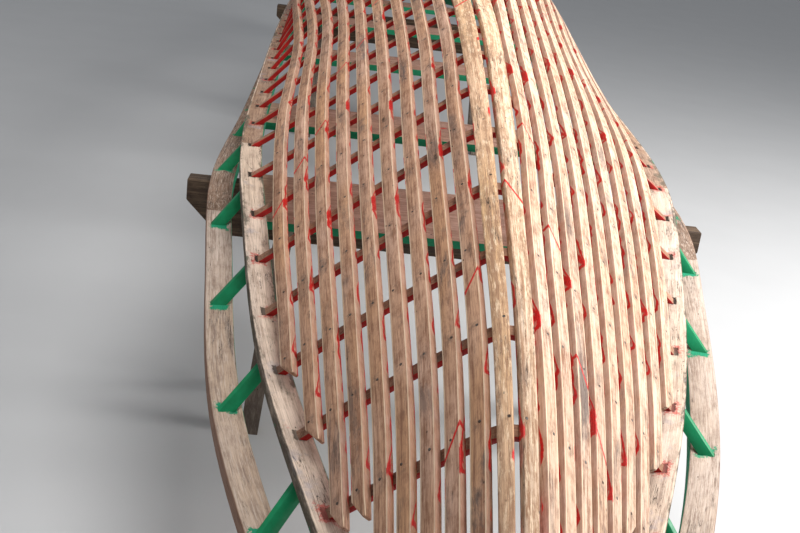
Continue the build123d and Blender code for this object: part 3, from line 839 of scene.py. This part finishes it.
def outer_rail_material(name, pale, warm, dark):
    """Silvery rail timber, green round the struts and along its inner edge."""
    n = new_material(name)
    place, lie = attribute(n, "grain"), attribute(n, "lie")
    obj = n.add("TexCoord").outputs["Object"]
    wood = use_group(
        n,
        "bare timber",
        Place=place,
        Pale=pale,
        Warm=warm,
        Dark=dark,
        Grey=OUTER_GREY,
        Weather=0.6,
        Bands=0.28,
        Knots=0.3,
        Checks=0.8,
    )
    g = n.split(lie)[0]
    across = n.math("ABSOLUTE", n.split(place)[0])
    silver = n.noise(n.scaled(place, (1, 0.05, 1)), 420, 4, 0.7)
    color = n.mix(n.ramp(silver, 0.52, 0.62, 0.0, 0.6), wood["Color"], OUTER_SILVER)
    off = use_group(n, "near each fixing", Place=obj, First=STRUT_FIRST, Step=STRUT_STEP)["Off"]
    ragged = n.math("SUBTRACT", n.noise(obj, 55, 6, 0.72), 0.5)
    foot_edge = n.math(
        "MAXIMUM",
        n.math("SUBTRACT", off, STRUT_HALF_ALONG),
        n.math("SUBTRACT", across, STRUT_HALF_ACROSS),
    )
    splash = n.ramp(n.math("MULTIPLY_ADD", ragged, -0.05, foot_edge), 0.006, 0.003)
    thin = n.ramp(n.noise(obj, 220, 4, 0.65), 0.40, 0.55, 0.15, 1.0)
    thick = n.ramp(foot_edge, 0.006, 0.001)
    splash = n.math("MULTIPLY", splash, n.math("MAXIMUM", thin, thick))
    green_run = n.math("SUBTRACT", n.noise(n.scaled(place, (0, 1, 0)), 7, 4, 0.6), 0.5)
    inboard = n.math("MULTIPLY_ADD", green_run, 0.14, n.math("MULTIPLY", g, -1))
    inner = n.ramp(inboard, 0.955, 0.985)
    rusty = n.math("MULTIPLY", n.ramp(g, 0.93, 0.98), 0.75)
    color = n.mix(rusty, color, OUTER_RUST)
    mould = n.noise(n.scaled(place, (1, 0.35, 1)), 26, 8, 0.75)
    color = n.mix(n.ramp(mould, 0.60, 0.70, 0.0, 0.7), color, OUTER_GRIME)
    color = n.mix(n.math("MAXIMUM", splash, inner, clamp=True), color, SPLASH_GREEN)
    return finish_material(name, color, wood["Roughness"], wood["Height"], OUTER_BUMP)


outer_pale = outer_rail_material(
    "pale outer rail",
    pale=(0.62, 0.50, 0.42, 1),
    warm=(0.56, 0.42, 0.31, 1),
    dark=(0.27, 0.19, 0.145, 1),
)
outer_brown = outer_rail_material(
    "brown outer rail",
    pale=(0.33, 0.225, 0.165, 1),
    warm=(0.29, 0.175, 0.11, 1),
    dark=(0.135, 0.08, 0.052, 1),
)
for side in ("left", "right"):
    for node, material in (
        ("upper_gunwale_bow_" + side, outer_pale),
        ("upper_gunwale_" + side, outer_brown),
    ):
        rail = bare_copy(node, OUTER_EDGE_WEAR)
        lay_grain(rail, OUTER_SEEDS[side], flat=True)
        wear_material(rail, material)


# Struts
# Short flat sticks that lean aft between the two rails, brushed with thick
# green paint that has worn through in spots.
STRUT_EDGE_WEAR, STRUT_BUMP = 0.0014, 0.0004
STRUT_GREEN, STRUT_GREEN_PALE = (0.003, 0.17, 0.060, 1), (0.006, 0.26, 0.105, 1)
STRUT_BARE = (0.30, 0.22, 0.15, 1)

n = new_material("green struts")
obj = n.add("TexCoord").outputs["Object"]
brush = n.noise(n.scaled(obj, (1.0, 1.0, 0.25)), 140, 4, 0.6)
cloud = n.noise(obj, 22, 4, 0.6)
green = n.mix(n.ramp(cloud, 0.35, 0.65), STRUT_GREEN, STRUT_GREEN_PALE)
bare = n.ramp(n.noise(obj, 120, 5, 0.7), 0.69, 0.72)
color = n.mix(bare, green, STRUT_BARE)
roughness = n.ramp(brush, 0.3, 0.7, 0.34, 0.5)
green_struts = finish_material("green struts", color, roughness, brush, STRUT_BUMP)
for side in ("left", "right"):
    struts = bare_copy("struts_" + side, STRUT_EDGE_WEAR)
    wear_material(struts, green_struts)


# Thwarts
# Planed boards across the boat under the lower gunwales. What shows from
# above is their bare underside; their edges are painted green.
THWART_EDGE_WEAR = 0.0015
THWART_GREEN = (0.012, 0.24, 0.11, 1)

n = new_material("thwart board")
coords = n.add("TexCoord").outputs
turned = n.split(coords["Object"])
place = n.join(turned[1], turned[0], turned[2])
wood = use_group(
    n,
    "bare timber",
    Place=place,
    Pale=(0.62, 0.42, 0.345, 1),
    Warm=(0.60, 0.38, 0.27, 1),
    Dark=(0.36, 0.21, 0.155, 1),
    Grey=(0.22, 0.17, 0.15, 1),
    Weather=0.4,
    Bands=0.5,
    Knots=0.4,
    Checks=0.4,
)
up = n.split(coords["Normal"])[2]
ragged = n.noise(coords["Object"], 45, 4, 0.6)
painted = n.ramp(n.math("MULTIPLY_ADD", ragged, 0.3, up), 0.95, 0.85)
splat = n.ramp(n.noise(coords["Object"], 6.5, 3, 0.5), 0.66, 0.68)
near_keel = n.ramp(n.math("ABSOLUTE", turned[0]), 0.16, 0.10)
color = n.mix(n.math("MULTIPLY", splat, near_keel), wood["Color"], LATH_RED)
color = n.mix(painted, color, THWART_GREEN)
thwart_board = finish_material("thwart board", color, wood["Roughness"], wood["Height"])
for node in (
    "fore_thwart",
    "second_thwart",
    "third_thwart",
    "fourth_thwart",
    "fifth_thwart",
    "stern_seat",
):
    board = bare_copy(node, THWART_EDGE_WEAR)
    wear_material(board, thwart_board)


# Stem block and transom
# A solid block at the bow that both pairs of rails butt on, and a thick
# board that closes the stern. Both are bare outside.
END_EDGE_WEAR, END_BUMP = 0.0025, 0.0012


def end_material(name, athwart):
    """Worn bare timber whose grain runs along the boat or athwart it."""
    n = new_material(name)
    x, y, z = n.split(n.add("TexCoord").outputs["Object"])
    place = n.join(y, x, z) if athwart else n.join(x, y, z)
    wood = use_group(
        n,
        "bare timber",
        Place=place,
        Pale=(0.52, 0.37, 0.27, 1),
        Warm=(0.50, 0.32, 0.20, 1),
        Dark=(0.24, 0.145, 0.095, 1),
        Grey=(0.12, 0.10, 0.088, 1),
        Weather=0.7,
        Bands=0.6,
        Knots=0.4,
        Checks=0.9,
    )
    return finish_material(name, wood["Color"], wood["Roughness"], wood["Height"], END_BUMP)


for node, slot, material in (
    ("stem_block", "stem_wood", end_material("stem timber", athwart=False)),
    ("transom", "transom_wood", end_material("transom board", athwart=True)),
):
    block = bare_copy(node, END_EDGE_WEAR)
    wear_material(block, material)


# Trestles
# Each trestle is a deep dark beam on edge with its end corners cut away, on
# four rough legs nailed to its sides.
BEAM_EDGE_WEAR, LEG_EDGE_WEAR, TRESTLE_BUMP = 0.0030, 0.0025, 0.0016
TRESTLE_GREY = (0.05, 0.042, 0.036, 1)


def trestle_material(name, pale, dark, along_x):
    """Rough old timber whose grain runs along X or up and down."""
    n = new_material(name)
    x, y, z = n.split(n.add("TexCoord").outputs["Object"])
    place = n.join(y, x, z) if along_x else n.join(x, z, y)
    wood = use_group(
        n,
        "bare timber",
        Place=place,
        Pale=pale,
        Warm=pale,
        Dark=dark,
        Grey=TRESTLE_GREY,
        Weather=0.6,
        Bands=0.7,
        Knots=0.3,
        Checks=0.8,
    )
    return finish_material(name, wood["Color"], wood["Roughness"], wood["Height"], TRESTLE_BUMP)


beam_timber = trestle_material(
    "beam timber", pale=(0.16, 0.105, 0.065, 1), dark=(0.06, 0.036, 0.022, 1), along_x=True
)
leg_timber = trestle_material(
    "leg timber", pale=(0.27, 0.215, 0.17, 1), dark=(0.13, 0.10, 0.08, 1), along_x=False
)
for end in ("bow", "stern"):
    beam = bare_copy(end + "_trestle_beam", BEAM_EDGE_WEAR)
    wear_material(beam, beam_timber)
    legs = bare_copy(end + "_trestle_legs", LEG_EDGE_WEAR)
    wear_material(legs, leg_timber)


# Floor, light and camera
# A plain pale floor, a broad soft light from the right, a weaker one overhead and
# an even sky. The camera looks down on the bow from eye height, a little left.
FLOOR_SIZE = 60
FLOOR_GREY, FLOOR_GREY_PALE = (0.50, 0.505, 0.51, 1), (0.54, 0.545, 0.55, 1)
SKY_COLOR, SKY_STRENGTH = (0.92, 0.95, 1.0, 1), 0.34
CAMERA_PLACE = (-0.3352, -4.75, 1.58)
PITCH, ROLL, HEADING = math.radians(20.138), math.radians(-7.3018), math.radians(4.3437)
LENS, SENSOR_WIDTH = 50.84, 36

bpy.ops.object.select_all(action="DESELECT")
bpy.ops.mesh.primitive_plane_add(size=FLOOR_SIZE, location=(0, 0, 0))
floor = bpy.context.active_object
floor.name = "floor"
n = new_material("pale floor")
speckle = n.noise(n.add("TexCoord").outputs["Object"], 3, 3, 0.5)
color = n.mix(speckle, FLOOR_GREY, FLOOR_GREY_PALE)
wear_material(floor, finish_material("pale floor", color, 0.6, speckle, 0.0001))

world = bpy.data.worlds.new("sky")
scene.world = world
world.use_nodes = True
background = world.node_tree.nodes["Background"]
background.inputs["Color"].default_value = SKY_COLOR
background.inputs["Strength"].default_value = SKY_STRENGTH


def lamp(name, place, target, size, power, color):
    """A round soft lamp that faces its target."""
    data = bpy.data.lights.new(name, "AREA")
    data.shape, data.size, data.energy, data.color = "DISK", size, power, color
    light = bpy.data.objects.new(name, data)
    scene.collection.objects.link(light)
    light.location = place
    light.rotation_euler = (Vector(target) - Vector(place)).to_track_quat("-Z", "Y").to_euler()


lamp(
    "window",
    place=(4.4, -2.2, 3.6),
    target=(0.3, -0.9, 0.9),
    size=2.6,
    power=440,
    color=(1.0, 0.99, 0.975),
)
lamp(
    "overhead",
    place=(0.7, -2.4, 4.6),
    target=(-0.1, -1.7, 0.8),
    size=2.4,
    power=150,
    color=(1.0, 0.98, 0.96),
)

ahead = Vector((0, math.cos(PITCH), -math.sin(PITCH)))
down = Vector((0, -math.sin(PITCH), -math.cos(PITCH)))
right = Vector((1, 0, 0))
right, down = (
    math.cos(ROLL) * right + math.sin(ROLL) * down,
    -math.sin(ROLL) * right + math.cos(ROLL) * down,
)
turn = Matrix.Rotation(-HEADING, 3, "Z")
axes = [turn @ axis for axis in (right, -down, -ahead)]
data = bpy.data.cameras.new("camera")
data.lens, data.sensor_width = LENS, SENSOR_WIDTH
camera = bpy.data.objects.new("camera", data)
scene.collection.objects.link(camera)
camera.matrix_world = Matrix.Translation(CAMERA_PLACE) @ Matrix(axes).transposed().to_4x4()
scene.camera = camera
scene.view_settings.view_transform = "Standard"
